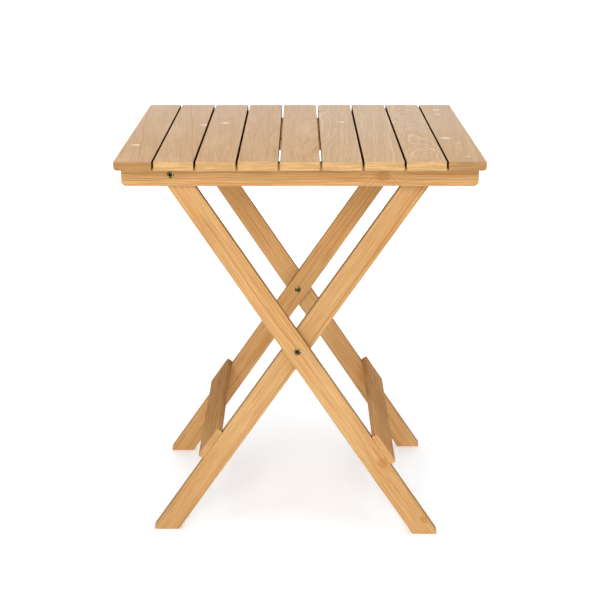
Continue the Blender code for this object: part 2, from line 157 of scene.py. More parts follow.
CROSS = joint_place("leg_cross")
HINGE = joint_place("top_hinge")
LEG_REACH = (HINGE - CROSS).length
LEAN = {"outer": -math.atan2(CROSS.x - HINGE.x, HINGE.z - CROSS.z),
        "inner": math.radians(INNER_LEAN_DEG)}
SIDE = {"front": -1, "rear": 1}
ROD_PLACE = sum(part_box("top_rod"), Vector()) / 2
ROD_REACH = (Vector((ROD_PLACE.x, 0.0, ROD_PLACE.z)) - CROSS).length


# ---- Materials ---------------------------------------------------------------------------------
class Shader:
    """One material, with short calls that each add a node and return its output."""

    def __init__(self, name):
        self.material = bpy.data.materials.new(name)
        self.material.use_nodes = True
        self.nodes = self.material.node_tree.nodes
        self.links = self.material.node_tree.links
        self.surface = self.nodes["Principled BSDF"]

    def feed(self, socket, value):
        if isinstance(value, bpy.types.NodeSocket):
            self.links.new(value, socket)
        else:
            socket.default_value = value

    def set(self, name, value):
        self.feed(self.surface.inputs[name], value)

    def attribute(self, name, output="Vector"):
        node = self.nodes.new("ShaderNodeAttribute")
        node.attribute_name = name
        return node.outputs[output]

    def math(self, operation, first, second=0.0, clamp=False):
        node = self.nodes.new("ShaderNodeMath")
        node.operation = operation
        node.use_clamp = clamp
        self.feed(node.inputs[0], first)
        self.feed(node.inputs[1], second)
        return node.outputs[0]

    def vector(self, operation, first, second=(0.0, 0.0, 0.0)):
        node = self.nodes.new("ShaderNodeVectorMath")
        node.operation = operation
        self.feed(node.inputs[0], first)
        self.feed(node.inputs[1], second)
        return node.outputs[1 if operation == "LENGTH" else 0]

    def join(self, x, y, z):
        node = self.nodes.new("ShaderNodeCombineXYZ")
        for socket, value in zip(node.inputs, (x, y, z)):
            self.feed(socket, value)
        return node.outputs[0]

    def noise(self, place, scale, detail, roughness, colour=False):
        node = self.nodes.new("ShaderNodeTexNoise")
        node.inputs["Scale"].default_value = 1.0
        node.inputs["Detail"].default_value = detail
        node.inputs["Roughness"].default_value = roughness
        self.feed(node.inputs["Vector"], self.vector("MULTIPLY", place, scale))
        return node.outputs["Color" if colour else "Fac"]

    def noise_along(self, value, detail):
        node = self.nodes.new("ShaderNodeTexNoise")
        node.noise_dimensions = "1D"
        node.inputs["Scale"].default_value = 1.0
        node.inputs["Detail"].default_value = detail
        self.feed(node.inputs["W"], value)
        return node.outputs["Fac"]

    def sway(self, noise, reach):
        """A noise colour as a shift across the board, up to half of reach either way."""
        centred = self.vector("SUBTRACT", noise, (0.5, 0.5, 0.5))
        return self.vector("MULTIPLY", centred, (0.0, reach, reach))

    def distance(self, place, pith, along, across, scale):
        """Distance from a spot on a board, after scaling; pith says where the grain starts."""
        shift, across_pith, _, across_slope, _ = pith
        centre = (along + shift, across - across_pith + across_slope * along, 0.0)
        offset = self.vector("SUBTRACT", place, centre)
        return self.vector("LENGTH", self.vector("MULTIPLY", offset, scale))

    def range(self, value, low, high, to_low=0.0, to_high=1.0):
        node = self.nodes.new("ShaderNodeMapRange")
        node.interpolation_type = "SMOOTHSTEP"
        for socket, number in zip(node.inputs, (value, low, high, to_low, to_high)):
            self.feed(socket, number)
        return node.outputs[0]

    def curve(self, value, stops):
        node = self.nodes.new("ShaderNodeValToRGB")
        ramp = node.color_ramp
        for index, (place, level) in enumerate(stops):
            if index > 1:
                ramp.elements.new(place)
            ramp.elements[index].position = place
            ramp.elements[index].color = (level, level, level, 1.0)
        self.feed(node.inputs[0], value)
        return node.outputs[0]

    def mix(self, share, first, second, blend="MIX"):
        """A colour mix: its factor and its two colours are sockets 0, 6 and 7."""
        node = self.nodes.new("ShaderNodeMix")
        node.data_type = "RGBA"
        node.blend_type = blend
        for index, value in ((0, share), (6, first), (7, second)):
            self.feed(node.inputs[index], (*value, 1.0) if isinstance(value, tuple) else value)
        return node.outputs[2]

    def bump(self, height, distance, strength):
        node = self.nodes.new("ShaderNodeBump")
        node.inputs["Distance"].default_value = distance
        node.inputs["Strength"].default_value = strength
        self.feed(node.inputs["Height"], height)
        return node.outputs[0]


# Linear colours. Early wood is the pale part of a growth ring, late wood its dark line.
EARLY = (0.560, 0.335, 0.146)
LATE = (0.420, 0.180, 0.048)
KNOT = (0.43, 0.195, 0.060)
PALE = (0.62, 0.385, 0.175)
END = (0.50, 0.27, 0.105)
# Painted glint: pale colour for small highlights on the slats' tops
GLINT_COLOUR = (0.95, 0.84, 0.70)
SLAT_EARLY = (0.525, 0.325, 0.163)
SLAT_LATE = (0.405, 0.220, 0.090)
SLAT_PALE = (0.585, 0.395, 0.235)
SLAT_PALE_LINE = (0.680, 0.462, 0.272)
SLAT_INNER_END = (0.540, 0.322, 0.132)
SLAT_OUTER_END = (0.345, 0.177, 0.061)
GAP_SHADE_DARK = (0.055, 0.018, 0.004)  # the slats' long edges: painted shade, near black, for the shade between the boards
# Browner streaks in the painted shade of the gaps
GAP_SHADE_BROWN = (0.130, 0.050, 0.014)
# Stretcher colours: darker and more saturated than the legs', painted shade for the stretchers under the top
STRETCHER_SHADED_EARLY = (0.530, 0.290, 0.120)
STRETCHER_SHADED_LATE = (0.375, 0.158, 0.052)
BEECH_EARLY = (0.66, 0.43, 0.24)
BEECH_LATE = (0.52, 0.30, 0.14)
ZINC_BRASS = (0.36, 0.29, 0.10)
# Near black greenish clouds on the yellow zinc: painted dark reflection
ZINC_DARK_REFLECTION = (0.055, 0.055, 0.025)
ZINC_PINK = (0.38, 0.22, 0.14)
# Painted shade, near black, inside the bolts' hex sockets
SOCKET_PAINTED_SHADE = (0.012, 0.012, 0.010)
ZINC_LIGHT = (0.62, 0.63, 0.62)
ZINC_SHADE = (0.46, 0.47, 0.48)

PALE_LINES_FROM = 5               # from this slat on, counted from 0, the growth lines are paler
SLAT_TONE = 0.92
PALE_SLAT_TONE = 0.80
# Painted shade on the legs' narrow sides, which the top keeps in shade
LEG_SIDE_SHADE = 0.88
WOOD_IOR = 1.003                  # oiled wood in the photo has almost no gloss
SLAT_IOR = 1.14
FIBRE_RANGE = (0.80, 1.15)        # how much the fibres darken and lighten the wood
SLAT_FIBRE_RANGE = (0.87, 1.09)

# Scales of the patterns in the wood, per metre: along the board, across it, and into it
BEND_SCALE = (4.5, 15.0, 15.0)
RIPPLE_SCALE = (19.0, 55.0, 55.0)
FIBRE_SCALE = (16.0, 900.0, 900.0)
STREAK_SCALE = (5.0, 160.0, 160.0)
CLOUD_SCALE = (5.0, 18.0, 18.0)
SAWN_SCALE = (20.0, 26.0, 330.0)
BEND = 0.013                      # how far the growth lines wander, in metres
RIPPLE = 0.0030
# One growth ring: place in the ring and darkness there
RING_CURVE = [(0.0, 0.10), (1.0, 0.12), (0.35, 0.04), (0.66, 0.35), (0.86, 1.0), (0.95, 0.80)]
KNOT_STRETCH = 0.75               # knots are longer along the board, painted glints across it
GLINT_STRETCH = 0.75
KNOT_SPREAD = -0.35               # how fast a knot's push on the rings fades
KNOT_PUSH = 2.2                   # and how far it reaches, in knot sizes
SAWN_SHADE = 0.74
WOOD_RELIEF = 0.00016


def pine(name, ring, wave, contrast=0.8, early=EARLY, late=LATE, knots=(), glints=(),
         end_share=0.25, end_colour=END, pith=None, ior=WOOD_IOR, pale=PALE,
         fibre_range=FIBRE_RANGE, carried=False):
    """Oiled pine as a solid pattern of growth rings about a pith line beside the board.

    The boards carry their own "grain" coordinates: along the board, and across it from the pith.
    A knot or painted glint, a pale spot that stands for a small highlight, is (along, across, size, strength) in
    the board's own metres.
    A carried CAD node has no grain or tone of its own, and takes its place in the frame instead.
    """
    shader = Shader(name)
    place = shader.attribute("position" if carried else "grain")

    slow = shader.noise(place, BEND_SCALE, 1.5, 0.4, colour=True)
    quick = shader.noise(place, RIPPLE_SCALE, 1.0, 0.5, colour=True)
    bent = shader.vector("ADD", place, shader.sway(slow, BEND * wave))
    warped = shader.vector("ADD", bent, shader.sway(quick, RIPPLE * wave))
    radius = shader.vector("LENGTH", shader.vector("MULTIPLY", warped, (0.0, 1.0, 1.0)))

    core = None
    for along, across, size, strength in knots:
        distance = shader.distance(place, pith, along, across,
                                   (KNOT_STRETCH / size, 1.0 / size, 0.0))
        squared = shader.math("MULTIPLY", distance, distance)
        swell = shader.math("EXPONENT", shader.math("MULTIPLY", squared, KNOT_SPREAD))
        push = shader.math("MULTIPLY", swell, KNOT_PUSH * size * strength)
        radius = shader.math("ADD", radius, push)
        this_core = shader.math("MULTIPLY", shader.range(distance, 1.0, 0.45), strength)
        core = this_core if core is None else shader.math("MAXIMUM", core, this_core)

    uneven = shader.noise_along(shader.math("MULTIPLY", radius, 0.45 / ring), 2.0)
    phase = shader.math("ADD", shader.math("MULTIPLY", radius, 1.0 / ring),
                        shader.math("MULTIPLY", uneven, 1.6))
    latewood = shader.curve(shader.math("FRACT", phase), RING_CURVE)
    each = shader.noise_along(shader.math("MULTIPLY", shader.math("FLOOR", phase), 1.37), 0.0)
    latewood = shader.math("MULTIPLY", latewood, shader.range(each, 0.25, 0.75, 0.45, 1.15))

    fibre = shader.noise(place, FIBRE_SCALE, 3.0, 0.6)
    streak = shader.noise(place, STREAK_SCALE, 2.0, 0.5)
    cloud = shader.noise(place, CLOUD_SCALE, 2.0, 0.5)

    colour = shader.mix(shader.math("MULTIPLY", latewood, contrast, clamp=True), early, late)
    colour = shader.mix(shader.range(streak, 0.42, 0.72, 0.0, 0.45), colour, late)
    colour = shader.mix(shader.range(cloud, 0.45, 0.75, 0.0, 0.45), colour, pale)
    if core is not None:
        # The dark rings in the heart are drawn about the last knot in the list.
        rings = shader.math("PINGPONG", shader.math("MULTIPLY", distance, 5.0), 1.0)
        heart = shader.mix(shader.math("MULTIPLY", rings, 0.7), KNOT, late)
        colour = shader.mix(shader.math("MULTIPLY", core, 0.85), colour, heart)
    sawn = shader.noise(place, SAWN_SCALE, 2.0, 0.55)
    sawn_dark = tuple(SAWN_SHADE * level for level in end_colour)
    sawn_colour = shader.mix(shader.range(sawn, 0.36, 0.66), sawn_dark, end_colour)
    at_end = shader.math("MULTIPLY", shader.attribute("end", "Fac"), end_share)
    colour = shader.mix(at_end, colour, sawn_colour)
    worn = shader.math("MULTIPLY", shader.attribute("edge", "Fac"),
                       shader.range(streak, 0.3, 0.7, 0.1, 0.5))
    colour = shader.mix(worn, colour, pale)
    tone = 1.0 if carried else shader.attribute("tone", "Fac")
    depth = shader.math("MULTIPLY", tone, shader.range(fibre, 0.3, 0.7, *fibre_range))
    colour = shader.mix(1.0, colour, shader.join(depth, depth, depth), "MULTIPLY")

    # Painted glints: pale spots that stand for small highlights
    for along, across, size, strength in glints:
        distance = shader.distance(place, pith, along, across,
                                   (1.0 / size, GLINT_STRETCH / size, 0.0))
        spot = shader.math("MULTIPLY", shader.range(distance, 1.0, 0.35), strength)
        spot = shader.math("MULTIPLY", spot, shader.range(streak, 0.25, 0.6, 0.55, 1.0))
        colour = shader.mix(spot, colour, GLINT_COLOUR)
    shader.set("Base Color", colour)
    shader.set("Roughness", shader.range(fibre, 0.2, 0.8, 0.40, 0.56))
    shader.surface.inputs["IOR"].default_value = ior
    relief = shader.math("ADD", shader.math("MULTIPLY", fibre, 0.5),
                         shader.math("MULTIPLY", latewood, 0.5))
    shader.set("Normal", shader.bump(relief, WOOD_RELIEF, 0.7))
    return shader.material


def yellow_zinc():
    """Yellow passivated zinc: brassy, with dark greenish clouds of painted reflection, pinkish clouds and fine
    turning marks.
    """
    shader = Shader("yellow_zinc_finish")
    place = shader.attribute("grain")
    cloud = shader.noise(place, (260.0, 260.0, 260.0), 3.0, 0.6)
    fine = shader.noise(place, (2600.0, 2600.0, 2600.0), 2.0, 0.6)
    # Dark clouds: painted reflection, which breaks up the highlights
    colour = shader.mix(shader.range(cloud, 0.40, 0.54), ZINC_BRASS, ZINC_DARK_REFLECTION)
    colour = shader.mix(shader.range(cloud, 0.60, 0.80, 0.0, 0.5), colour, ZINC_PINK)
    # The socket's inside takes painted shade
    colour = shader.mix(shader.attribute("recess", "Fac"), colour, SOCKET_PAINTED_SHADE)
    shader.set("Base Color", colour)
    shader.set("Roughness", shader.range(fine, 0.25, 0.75, 0.16, 0.32))
    shader.surface.inputs["Metallic"].default_value = 1.0
    shader.set("Normal", shader.bump(fine, 0.00002, 0.5))
    return shader.material


def bright_zinc():
    """Bright zinc plating with a fine spangle."""
    shader = Shader("bright_zinc_finish")
    spangle = shader.noise(shader.attribute("grain"), (700.0, 700.0, 700.0), 2.0, 0.5)
    shader.set("Base Color", shader.mix(shader.range(spangle, 0.35, 0.65), ZINC_LIGHT, ZINC_SHADE))
    shader.set("Roughness", shader.range(spangle, 0.3, 0.7, 0.25, 0.45))
    shader.surface.inputs["Metallic"].default_value = 1.0
    shader.set("Normal", shader.bump(spangle, 0.00002, 0.4))
    return shader.material


def make_gap_shade():
    """The slats' long edges: painted shade, dark and dull, for the shade in the gaps between the boards, with the
    grain just showing.
    """
    shader = Shader("slat_edge_painted_shade")
    place = shader.attribute("grain")
    streak = shader.noise(place, (6.0, 200.0, 200.0), 3.0, 0.55)
    fibre = shader.noise(place, (30.0, 1200.0, 1200.0), 2.0, 0.5)
    shader.set("Base Color", shader.mix(shader.range(streak, 0.45, 0.75), GAP_SHADE_DARK, GAP_SHADE_BROWN))
    shader.set("Roughness", shader.range(fibre, 0.3, 0.7, 0.65, 0.85))
    shader.surface.inputs["Specular IOR Level"].default_value = 0.0
    shader.set("Normal", shader.bump(fibre, 0.0001, 0.5))
    return shader.material


GAP_SHADE_PAINT = make_gap_shade()
YELLOW_ZINC = yellow_zinc()
BRIGHT_ZINC = bright_zinc()


# ---- Mesh helpers ------------------------------------------------------------------------------
def arc(centre, radius, start_deg, end_deg, steps):
    points = []
    for step in range(steps + 1):
        angle = math.radians(start_deg + (end_deg - start_deg) * step / steps)
        points.append((centre[0] + radius * math.cos(angle), centre[1] + radius * math.sin(angle)))
    return points


def rounded(corners, steps=8):
    """Outline through (x, z, radius) corners, each rounded to its radius."""
    points = []
    for index, (x, z, radius) in enumerate(corners):
        corner = Vector((x, z))
        if radius == 0.0:
            points.append((x, z))
            continue
        back = (Vector(corners[index - 1][:2]) - corner).normalized()
        ahead = (Vector(corners[(index + 1) % len(corners)][:2]) - corner).normalized()
        half_angle = back.angle(ahead) / 2
        centre = corner + (back + ahead).normalized() * radius / math.sin(half_angle)
        first = corner + back * radius / math.tan(half_angle) - centre
        last = corner + ahead * radius / math.tan(half_angle) - centre
        first_deg = math.degrees(math.atan2(first.y, first.x))
        turn = math.degrees(math.atan2(last.y, last.x)) - first_deg
        turn = (turn + 180.0) % 360.0 - 180.0
        points += arc(centre, radius, first_deg, first_deg + turn, steps)
    return points


def prism(outline, low_y, high_y):
    """A closed prism: an outline of (x, z) points, extruded along Y."""
    shape = bmesh.new()
    face = shape.faces.new([shape.verts.new((x, low_y, z)) for x, z in outline])
    made = bmesh.ops.extrude_face_region(shape, geom=[face])["geom"]
    moved = [item for item in made if isinstance(item, bmesh.types.BMVert)]
    bmesh.ops.translate(shape, verts=moved, vec=(0.0, high_y - low_y, 0.0))
    bmesh.ops.recalc_face_normals(shape, faces=shape.faces)
    return shape


def block(low, high):
    outline = [(low.x, low.z), (high.x, low.z), (high.x, high.z), (low.x, high.z)]
    return prism(outline, low.y, high.y)


def round_edges(shape, edges, radius, segments):
    bmesh.ops.bevel(shape, geom=edges, offset=radius, segments=segments, profile=0.5,
                    affect="EDGES", clamp_overlap=True)


def ease(shape, radius):
    """Round every sharp edge a little."""
    sharp = [edge for edge in shape.edges if edge.calc_face_angle(0.0) > SHARP]
    round_edges(shape, sharp, radius, EASE_SEGMENTS)


def lathe(profile, sides=ROUND_SIDES):
    """A turned solid about Z from (radius, height) points that start and end on the axis."""
    shape = bmesh.new()
    verts = [shape.verts.new((radius, 0.0, height)) for radius, height in profile]
    edges = [shape.edges.new(pair) for pair in zip(verts, verts[1:])]
    bmesh.ops.spin(shape, geom=verts + edges, cent=(0.0, 0.0, 0.0), axis=(0.0, 0.0, 1.0),
                   angle=2 * math.pi, steps=sides, use_merge=True)
    bmesh.ops.remove_doubles(shape, verts=shape.verts, dist=0.000001)
    bmesh.ops.recalc_face_normals(shape, faces=shape.faces)
    return shape


def hole_cutter(radius, length):
    """A round pin that reaches length either way from where it is put."""
    return lathe([(0.0, length), (radius, length), (radius, -length), (0.0, -length)])


def stepped_cutter(steps):
    """A cutter that starts outside a face and goes in by (radius, depth) steps, wide to narrow."""
    profile = [(0.0, CUTTER_PROUD), (steps[0][0], CUTTER_PROUD)]
    for index, (radius, depth) in enumerate(steps):
        profile.append((radius, -depth))
        if index + 1 < len(steps):
            profile.append((steps[index + 1][0], -depth))
    profile.append((0.0, -steps[-1][1]))
    return lathe(profile)


def mesh_of(shape, name):
    mesh = bpy.data.meshes.new(name)
    shape.to_mesh(mesh)
    shape.free()
    return mesh


def toward(direction, centre):
    """A matrix that puts a lathe's Z axis along direction, at centre."""
    turn = Vector(direction).to_track_quat("Z", "Y").to_matrix().to_4x4()
    return Matrix.Translation(centre) @ turn


def cut(thing, solids):
    """Cut solids, each (bmesh, matrix), out of a piece and apply the result."""
    for shape, matrix in solids:
        bmesh.ops.transform(shape, matrix=matrix, verts=shape.verts)
        cutter = bpy.data.objects.new("cutter", mesh_of(shape, "cutter"))
        bpy.context.scene.collection.objects.link(cutter)
        modifier = thing.modifiers.new("cut", "BOOLEAN")
        modifier.operation = "DIFFERENCE"
        modifier.solver = "EXACT"
        modifier.object = cutter
        evaluated = thing.evaluated_get(bpy.context.evaluated_depsgraph_get())
        result = bpy.data.meshes.new_from_object(evaluated)
        thing.modifiers.remove(modifier)
        thing.data = result
        bpy.data.objects.remove(cutter, do_unlink=True)


def new_object(name, content):
    thing = bpy.data.objects.new(name, content)
    bpy.context.scene.collection.objects.link(thing)
    return thing


def new_piece(name, shape, cutters=()):
    """An object made from a shape, with the cutters, each (bmesh, matrix), taken out of it."""
    thing = new_object(name, mesh_of(shape, name))
    cut(thing, cutters)
    return thing


def stand_for(thing, node):
    """Make a piece ride with its node's body, and show it in the node's place."""
    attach(thing, body_of_node(node))
    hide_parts(node)


# ---- Boards ------------------------------------------------------------------------------------
class Grain:
    """Where a board lay in its log: how far its pith is from it, and which way it runs out."""

    def __init__(self, across_pith, deep_pith, across_slope=0.0, deep_slope=0.0):
        self.values = (draw.uniform(0.5, 4.0), across_pith, deep_pith, across_slope, deep_slope)

    def at(self, along, across, deep):
        shift, across_pith, deep_pith, across_slope, deep_slope = self.values
        return (along + shift,
                across - across_pith + across_slope * along,
                deep - deep_pith + deep_slope * along)


def mark_faces(mesh, axes, tone, side_shade):
    """Mark the sawn ends and the eased edges, and give each face its tone, with painted shade on the narrow sides.
    """
    along, across, deep = axes
    ends = mesh.attributes.new("end", "FLOAT", "FACE")
    edges = mesh.attributes.new("edge", "FLOAT", "FACE")
    tones = mesh.attributes.new("tone", "FLOAT", "FACE")
    for face in mesh.polygons:
        straightest = max(abs(face.normal.dot(axis)) for axis in (along, across, deep))
        ends.data[face.index].value = 1.0 if abs(face.normal.dot(along)) > 0.9 else 0.0
        edges.data[face.index].value = 1.0 if straightest < 0.985 and face.area < 0.002 else 0.0
        # Narrow sides take painted shade
        narrow_side = abs(face.normal.dot(across)) > 0.9
        tones.data[face.index].value = tone * (side_shade if narrow_side else 1.0)


def finish_mesh(mesh, material, matrix):
    """Smooth a mesh up to its sharp edges, and give it its material and its place."""
    mesh.shade_smooth()
    mesh.set_sharp_from_angle(angle=SHARP)
    mesh.materials.clear()
    mesh.materials.append(material)
    mesh.transform(matrix)
    mesh.update()


def finish_board(thing, grain, axes, centre, material, tone, matrix=Matrix.Identity(4),
                 side_shade=1.0):
    """Give a board its grain coordinates, its end and edge marks, its material and its place.

    axes are the board's own (along, across, deep) directions in its mesh, and centre its middle.
    The last argument is painted shade: it darkens the narrow sides, which face across the board.
    """
    axes = [Vector(axis) for axis in axes]
    along, across, deep = axes
    places = thing.data.attributes.new("grain", "FLOAT_VECTOR", "POINT")
    for item, vertex in zip(places.data, thing.data.vertices):
        offset = vertex.co - centre
        item.vector = grain.at(offset.dot(along), offset.dot(across), offset.dot(deep))
    mark_faces(thing.data, axes, tone, side_shade)
    finish_mesh(thing.data, material, matrix)


ALONG_Y = ((0, 1, 0), (1, 0, 0), (0, 0, 1))
ALONG_X = ((1, 0, 0), (0, 0, 1), (0, 1, 0))
ALONG_X_FLAT = ((1, 0, 0), (0, 1, 0), (0, 0, 1))
ALONG_Z = ((0, 0, 1), (1, 0, 0), (0, 1, 0))
ALONG_Y_UPRIGHT = ((0, 1, 0), (0, 0, 1), (1, 0, 0))

# How each slat was cut: pith across and below, its two slopes, ring width, waviness, line contrast
SLATS = [
    (0.060, -0.050, 0.08, 0.015, 0.0030, 1.3, 0.70),
    (-0.055, -0.050, 0.06, 0.010, 0.0028, 1.5, 0.65),
    (0.065, -0.045, 0.05, -0.015, 0.0030, 1.5, 0.65),
    (0.040, -0.045, 0.02, 0.020, 0.0030, 1.9, 0.80),
    (0.035, -0.055, 0.01, 0.025, 0.0032, 1.8, 0.65),
    (-0.045, -0.055, -0.02, -0.020, 0.0034, 1.5, 0.85),
    (-0.050, -0.045, -0.05, 0.015, 0.0030, 1.3, 1.00),
    (0.002, -0.036, -0.02, 0.060, 0.0036, 2.1, 1.20),
    (-0.065, -0.055, -0.06, 0.010, 0.0036, 1.2, 0.40),
]
# Painted glints, pale spots that stand for small highlights, and knots on the slats, by slat counted from 0:
# along, across, size, strength
SLAT_GLINTS = {
    0: [(-0.157, -0.011, 0.0085, 0.58)],
    1: [(0.058, 0.028, 0.0080, 0.55)],
    2: [(0.081, -0.003, 0.0095, 0.58)],
    5: [(0.093, 0.010, 0.0070, 0.65)],
    7: [(0.093, -0.030, 0.0060, 0.55)],
    8: [(0.244, -0.003, 0.0080, 0.50), (0.190, -0.006, 0.0070, 0.40),
        (-0.086, -0.016, 0.0095, 0.60), (-0.137, 0.003, 0.0080, 0.16),
        (-0.266, 0.004, 0.0070, 0.20)],
}
SLAT_KNOTS = {
    7: [(0.10, 0.006, 0.012, 0.45), (-0.17, -0.004, 0.010, 0.35)],
}


def round_plan_corners(shape, outer_x, end_y):
    """Round the two upright edges at the outside of the top."""
    def upright(edge):
        first, last = (vert.co for vert in edge.verts)
        at_side = all(abs(point.x - outer_x) < CLOSE for point in (first, last))
        at_end = all(abs(point.y) > end_y - CLOSE for point in (first, last))
        return at_side and at_end and abs(first.y - last.y) < CLOSE

    round_edges(shape, [edge for edge in shape.edges if upright(edge)], PLAN_RADIUS, PLAN_SEGMENTS)


def paint_gap_shade(mesh):
    """Give a slat's long edges the painted gap shade, except the two at the outside of the top."""
    mesh.materials.append(GAP_SHADE_PAINT)
    for face in mesh.polygons:
        inside = abs(face.center.x) < top_width / 2 - OUTER_EDGE_MARGIN
        if abs(face.normal.x) > 0.2 and inside:
            face.material_index = 1


def make_slat(index):
    node = f"slat_{index + 1}"
    low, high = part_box(node)
    low.y += HAIR
    high.y -= HAIR
    first, last = index == 0, index == len(SLATS) - 1
    low.x -= 0.0 if first else GAP_TRIM
    high.x += 0.0 if last else GAP_TRIM
    outline = rounded([(low.x, low.z, UNDER_RADIUS if first else 0.0),
                       (high.x, low.z, UNDER_RADIUS if last else 0.0),
                       (high.x, high.z, 0.0),
                       (low.x, high.z, 0.0)])
    shape = prism(outline, low.y, high.y)
    if first or last:
        round_plan_corners(shape, low.x if first else high.x, high.y)
    ease(shape, SLAT_EASE)
    cutters = []
    for end in SIDE:
        screw_low, screw_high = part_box(f"slat_screw_{end}_{index + 1}")
        centre = (screw_low + screw_high) / 2
        depth = screw_high.z + SCREW_HOLE_EXTRA - low.z
        radius = SCREW_RADIUS + FIT
        hole = lathe([(0.0, depth), (radius, depth), (radius, -CUTTER_PROUD), (0.0, -CUTTER_PROUD)],
                     SCREW_HOLE_SIDES)
        cutters.append((hole, Matrix.Translation((centre.x, centre.y, low.z))))
    thing = new_piece(node + "_wood", shape, cutters)
    *pith, ring, wave, contrast = SLATS[index]
    grain = Grain(*pith)
    pale_lines = index >= PALE_LINES_FROM
    tone = PALE_SLAT_TONE if pale_lines else SLAT_TONE
    end_colour = SLAT_OUTER_END if first or last else SLAT_INNER_END
    material = pine(node + "_pine", ring=ring, wave=wave, contrast=contrast, early=SLAT_EARLY,
                    late=SLAT_PALE_LINE if pale_lines else SLAT_LATE,
                    knots=SLAT_KNOTS.get(index, ()), glints=SLAT_GLINTS.get(index, ()),
                    pith=grain.values, end_share=0.85,
                    end_colour=tuple(level / tone for level in end_colour), ior=SLAT_IOR,
                    pale=SLAT_PALE, fibre_range=SLAT_FIBRE_RANGE)
    finish_board(thing, grain, ALONG_Y, (low + high) / 2, material, tone)
    paint_gap_shade(thing.data)
    stand_for(thing, node)


def make_apron(end, knots, pith, tone):
    node = f"apron_{end}"
    low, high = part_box(node)
    outline = rounded([(low.x, low.z, APRON_CORNER), (high.x, low.z, APRON_CORNER),
                       (high.x, high.z, 0.0), (low.x, high.z, 0.0)], steps=10)
    shape = prism(outline, low.y, high.y)
    ease(shape, BOARD_EASE)
    bolt_place = (HINGE.x, (low.y + high.y) / 2, HINGE.z)
    cutters = [(hole_cutter(BOLT_RADIUS + FIT, THROUGH), toward((0, 1, 0), bolt_place))]
    for index in range(len(SLATS)):
        screw_low, screw_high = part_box(f"slat_screw_{end}_{index + 1}")
        centre = (screw_low + screw_high) / 2
        bore = stepped_cutter([(COUNTERBORE_RADIUS, COUNTERBORE_DEPTH),
                               (SCREW_RADIUS + FIT, COUNTERBORE_THROUGH)])
        cutters.append((bore, toward((0, 0, -1), (centre.x, centre.y, low.z))))
    thing = new_piece(node + "_wood", shape, cutters)
    grain = Grain(*pith)
    material = pine(node + "_pine", ring=0.0036, wave=1.1, contrast=0.75, knots=knots,
                    pith=grain.values, end_share=0.4)
    finish_board(thing, grain, ALONG_X, (low + high) / 2, material, tone)
    stand_for(thing, node)


def make_under_board(node, edge_radius, pith, ring, wave, tone):
    """The middle batten or the stop block: a plain board that lies under the slats."""
    low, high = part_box(node)
    shape = block(low, high)
    ease(shape, edge_radius)
    thing = new_piece(node + "_wood", shape)
    grain = Grain(*pith)
    material = pine(node + "_pine", ring=ring, wave=wave, pith=grain.values)
    finish_board(thing, grain, ALONG_X_FLAT, (low + high) / 2, material, tone)
    stand_for(thing, node)


def leg_outline(lean):
    """A leg along its own Z axis, with the cross axis at 0 and the foot cut level."""
    half = LEG_WIDTH / 2
    end = LEG_REACH + LEG_END_RADIUS
    lean_sign = math.copysign(1.0, lean)
    tip_x = -lean_sign * half

    def floor_at(x):
        return (x * math.sin(lean) - CROSS.z) / math.cos(lean)

    clip_x = tip_x + lean_sign * LEG_TIP_CLIP * math.cos(lean)
    clip_rise = LEG_TIP_CLIP * math.cos(lean) / abs(math.sin(lean))
    corners = [(-tip_x, end, LEG_END_RADIUS),
               (tip_x, end, LEG_END_RADIUS),
               (tip_x, floor_at(clip_x) + clip_rise * math.cos(lean), 0.0),
               (clip_x, floor_at(clip_x), 0.0),
               (-tip_x, floor_at(-tip_x), HEEL_RADIUS)]
    return rounded(corners, steps=16)


def leg_matrix(lean):
    return Matrix.Translation((CROSS.x, 0.0, CROSS.z)) @ Matrix.Rotation(lean, 4, "Y")


def make_leg(kind, end, pith, tone, ring, wave, contrast, knots):
    node = f"{kind}_leg_{end}"
    side, lean = SIDE[end], LEAN[kind]
    low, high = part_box(node)
    shape = prism(leg_outline(lean), low.y, high.y)
    ease(shape, LEG_EASE)
    inner_y = low.y if side > 0 else high.y
    inward = (0, -side, 0)
    middle_y = (low.y + high.y) / 2
    bolt_step = (BOLT_RADIUS + FIT, THROUGH)
    if kind == "outer":
        recess = stepped_cutter([(HEAD_RADIUS + FIT, HEAD_HEIGHT + 2 * FIT),
                                 (SLEEVE_RADIUS + FIT, SLEEVE_LENGTH + 2 * HEAD_HEIGHT),
                                 bolt_step])
        cutters = [(hole_cutter(*bolt_step), toward(inward, (0.0, middle_y, 0.0))),
                   (recess, toward(inward, (0.0, inner_y, LEG_REACH)))]
    else:
        sleeve = stepped_cutter([(SLEEVE_RADIUS + FIT, SLEEVE_LENGTH + HEAD_HEIGHT), bolt_step])
        socket = stepped_cutter([(ROD_RADIUS + FIT, ROD_SOCKET)])
        cutters = [(sleeve, toward(inward, (0.0, inner_y, 0.0))),
                   (socket, toward(inward, (0.0, inner_y, ROD_REACH)))]
    thing = new_piece(node + "_wood", shape, cutters)
    grain = Grain(*pith)
    material = pine(node + "_pine", ring=ring, wave=wave, contrast=contrast, knots=knots,
                    pith=grain.values, end_share=0.6)
    finish_board(thing, grain, ALONG_Z, Vector((0.0, middle_y, 0.0)), material, tone,
                 leg_matrix(lean), LEG_SIDE_SHADE)
    stand_for(thing, node)


